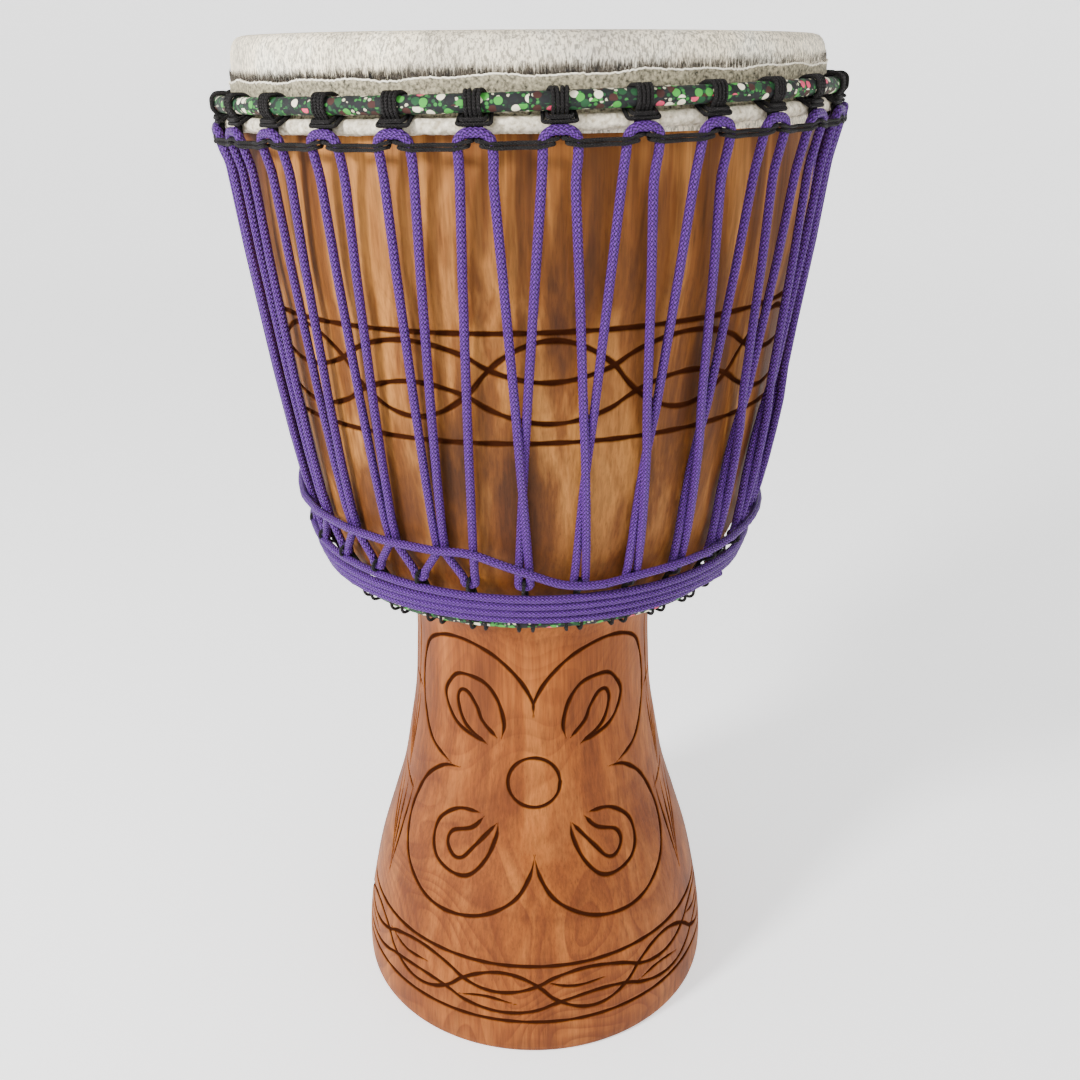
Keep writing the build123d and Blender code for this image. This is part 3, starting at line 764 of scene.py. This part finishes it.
route, steps = rounded_route(points, bends + [2.0, 2.0, 2.9, 2.9, 2.0, 2.0] + bends[::-1], 0.9)
cell = tube_grid(route, CORD * 1.06, 8)
bottom_cord = Mesher()
for k in range(STATIONS):
    bottom_cord.grid(spin(cell, FIRST_STATION + (k + 0.5) * STEP), steps, caps=True)
bottom_cord.finish("bottom_cord", BLACK, ("bottom_cradle_cord",))

# ---------- tension rope ----------
LEG = [(164.9, 549), (160.0, 506), (150.9, 438), (148.0, 418), (144.8, 399), (141.9, 380), (139.6, 365),
       (136.6, 350)]
CROSS = [0, 0, 0.3, 1.95, 2.3, 1.95, 1.15, 0.2]


def is_woven(k):
    return (k + 14) % STATIONS - 14 in WOVEN


def leg_points(k, side):
    """One leg of span k from the top down; side is -1 for the left leg and +1 for the right leg."""
    angle = FIRST_STATION + k * STEP
    loop = side * 0.5 * STEP
    crossed = not is_woven(k) and not is_woven(k + side)
    top_turn = side * math.degrees(ARCH_HALF / ARCH_R)
    end_shift = side * math.degrees(U_HALF / U_R) * (1 if crossed else -1)
    points = []
    if is_woven(k):
        pinch = side * math.degrees(PINCH_HALF / 138.5)
        for radius, height in LEG[:3] + [(145.0, 400), (140.3, 374)]:
            part = (LEG_TOP - height) / (LEG_TOP - WEAVE_Z - 4)
            points.append(on_drum(angle + top_turn + (pinch - top_turn) * min(part, 1), radius, height))
        points.append(on_drum(angle + pinch, 137.6, WEAVE_Z + 2))
        points.append(on_drum(angle + pinch, 137.0, WEAVE_Z - 3))
    else:
        for (radius, height), apart in zip(LEG, CROSS):
            part = (LEG_TOP - height) / (LEG_TOP - 345.0)
            turn = top_turn + (loop + end_shift - top_turn) * min(part, 1)
            points.append(on_drum(angle + turn, radius + (side * apart if crossed else 0), height))
    points.append(on_drum(angle + loop + end_shift, U_R + 0.4, U_Z + 3.4))
    points.append(on_drum(angle + loop + end_shift, U_R, U_Z))
    points.append(on_drum(angle + loop, U_R, U_Z))
    return points


run_so_far = 0.0
for number in range(STATIONS):
    k = number - 14
    angle = FIRST_STATION + k * STEP
    left, right = leg_points(k, -1), leg_points(k, 1)
    arch = []
    for sideways, radius, height in ((-ARCH_HALF, ARCH_SIDE_R, ARCH_SIDE_Z), (-ARCH_HALF, ARCH_R, ARCH_TOP),
                                     (ARCH_HALF, ARCH_R, ARCH_TOP), (ARCH_HALF, ARCH_SIDE_R, ARCH_SIDE_Z)):
        arch.append(tilted(on_drum(angle, radius, height, sideways)))
    leg_bends = [60.0] * (len(left) - 3) + [8.0, 2.8]
    bends = leg_bends[::-1] + [20.0, 7.3, 7.3, 20.0] + leg_bends
    route, steps = rounded_route(left[::-1] + arch + right, bends, 0.9)
    span = Mesher()
    span.grid(tube_grid(route, ROPE * 1.02, 14), steps + run_so_far, caps=True)
    run_so_far += steps[-1]
    name = "tension_rope_%02d" % (number + 1)
    span.finish("braided_span_%02d" % (number + 1), PURPLE, (name,))

# ---------- woven rope and the spare rope round the waist ----------
WEAVE_R = 137.3 + 2 * ROPE + 0.25
points = [on_drum(FIRST_STATION - 8 * STEP - 1, 141.8, WEAVE_Z + 15),
          on_drum(FIRST_STATION - 7.5 * STEP, WEAVE_R, 367)]
points += [on_drum(FIRST_STATION + k * STEP, WEAVE_R + 0.3, WEAVE_Z) for k in WOVEN]
points += [on_drum(-13.0, 143.2, 363.4), on_drum(-6.5, 142.6, 357.5), on_drum(0.5, 141.9, 351.0),
           on_drum(6.0, 140.6, 345.0), on_drum(11.5, 140.0, 343.0), on_drum(16.0, 140.0, 343.2)]
route, steps = rounded_route(points, [60.0] * (len(points) - 2), 0.9)
woven = Mesher()
woven.grid(tube_grid(route, ROPE * 1.02, 14), steps, caps=True)
woven.finish("braided_weave", PURPLE, ("diamond_weave_rope",))

# (angle, radius, height) of the first turn, then radius and height at the start of each lower one
turns = [(40, 140.6, 347.0), (66, 141.0, 350.8), (92, 140.8, 350.0), (120, 140.0, 346.5),
         (150, 139.4, 344.0), (180, 139.2, 343.2), (210, 139.2, 343.0), (240, 139.0, 342.0),
         (270, 138.0, 340.2), (300, 137.0, 338.4), (330, 135.6, 336.0), (358, 134.6, 334.2)]
LAYERS = [(134.6, 334.2), (133.1, 329.4), (131.4, 324.7), (129.3, 320.1)]
for layer in range(3):
    (r0, z0), (r1, z1) = LAYERS[layer], LAYERS[layer + 1]
    for part in range(1, 13):
        share = part / 12.0
        turns.append((358 + 360 * layer + 30 * part, r0 + (r1 - r0) * share, z0 + (z1 - z0) * share))
turns += [(358 + 1080 + 30, 128.7, 318.6), (358 + 1080 + 62, 127.9, 317.2)]
points = [on_drum(16.0, 140.0, 343.2)]
points += [on_drum(a, r / math.cos(math.radians(13 if a < 358 else 15)), z) for a, r, z in turns[:-1]]
points.append(on_drum(*turns[-1]))
route, steps = rounded_route(points, [131.0] * (len(points) - 2), 0.9)
wraps = Mesher()
wraps.grid(tube_grid(route, ROPE * 1.02, 14), steps, caps=True)
wraps.finish("braided_waist_turns", PURPLE, ("waist_wrap_rope",))

# ---------- steel rods stay as they are, with a procedural finish ----------
for node in ("flesh_ring", "crown_ring", "bottom_ring"):
    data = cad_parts[node].data
    data.materials.clear()
    data.materials.append(STEEL)

# ---------- floor, light and camera ----------
def sweep_stage(flat, bend, wall):
    """A pale floor that curves up into a wall all round, so that no horizon shows."""
    line = [(0.01, 0.0), (1.0, 0.0), (2.5, 0.0), (flat, 0.0)]
    for t in np.linspace(0, math.pi / 2, 13)[1:]:
        line.append((flat + bend * math.sin(t), bend * (1 - math.cos(t))))
    line.append((flat + bend, bend + wall))
    columns = 96
    points, faces = [], []
    for radius, height in line:
        for t in np.arange(columns) / columns * 2 * math.pi:
            points.append((radius * math.cos(t), radius * math.sin(t), height))
    for row in range(len(line) - 1):
        for c in range(columns):
            d = (c + 1) % columns
            near, far = row * columns, (row + 1) * columns
            faces.append((near + c, far + c, far + d, near + d))
    mesh = bpy.data.meshes.new("floor")
    mesh.from_pydata(points, [], faces)
    mesh.polygons.foreach_set("use_smooth", [True] * len(faces))
    made = bpy.data.objects.new("floor", mesh)
    bpy.context.scene.collection.objects.link(made)
    return made


floor = sweep_stage(3.6, 1.6, 2.3)
floor_paint = Paint("floor_paint", 0.9)
floor_paint.colour(floor_paint.ramp(floor_paint.noise(floor_paint.position(), 3), [(0.0, 0.88), (1.0, 0.9)]))
floor_paint.shader.inputs["Emission Color"].default_value = (1, 1, 1, 1)
floor_paint.shader.inputs["Emission Strength"].default_value = 0.9
floor.data.materials.append(floor_paint.material)

world = bpy.data.worlds.new("studio")
bpy.context.scene.world = world
world.use_nodes = True
world.node_tree.nodes["Background"].inputs["Color"].default_value = (1, 1, 1, 1)
world.node_tree.nodes["Background"].inputs["Strength"].default_value = 0.36


def area_light(name, place, aim, size, power):
    data = bpy.data.lights.new(name, "AREA")
    data.size = size
    data.energy = power
    lamp = bpy.data.objects.new(name, data)
    bpy.context.scene.collection.objects.link(lamp)
    lamp.location = place
    lamp.rotation_euler = (Vector(aim) - Vector(place)).to_track_quat("-Z", "Y").to_euler()


area_light("key", (-1.5, -1.25, 1.35), (0, 0, 0.35), 0.38, 88)
area_light("fill", (1.6, -1.3, 1.0), (0, 0, 0.3), 1.4, 6)

data = bpy.data.cameras.new("camera")
data.lens = 38.33
data.sensor_width = 36
camera = bpy.data.objects.new("camera", data)
bpy.context.scene.collection.objects.link(camera)
camera.location = (0, -0.6842, 0.5978)
camera.rotation_mode = "QUATERNION"
heading = Quaternion((0, 0, 1), math.radians(-0.42))
pitch = Quaternion((1, 0, 0), math.radians(67.35))
roll_turn = Quaternion((0, 0, 1), math.radians(-0.28))
camera.rotation_quaternion = heading @ pitch @ roll_turn
bpy.context.scene.camera = camera
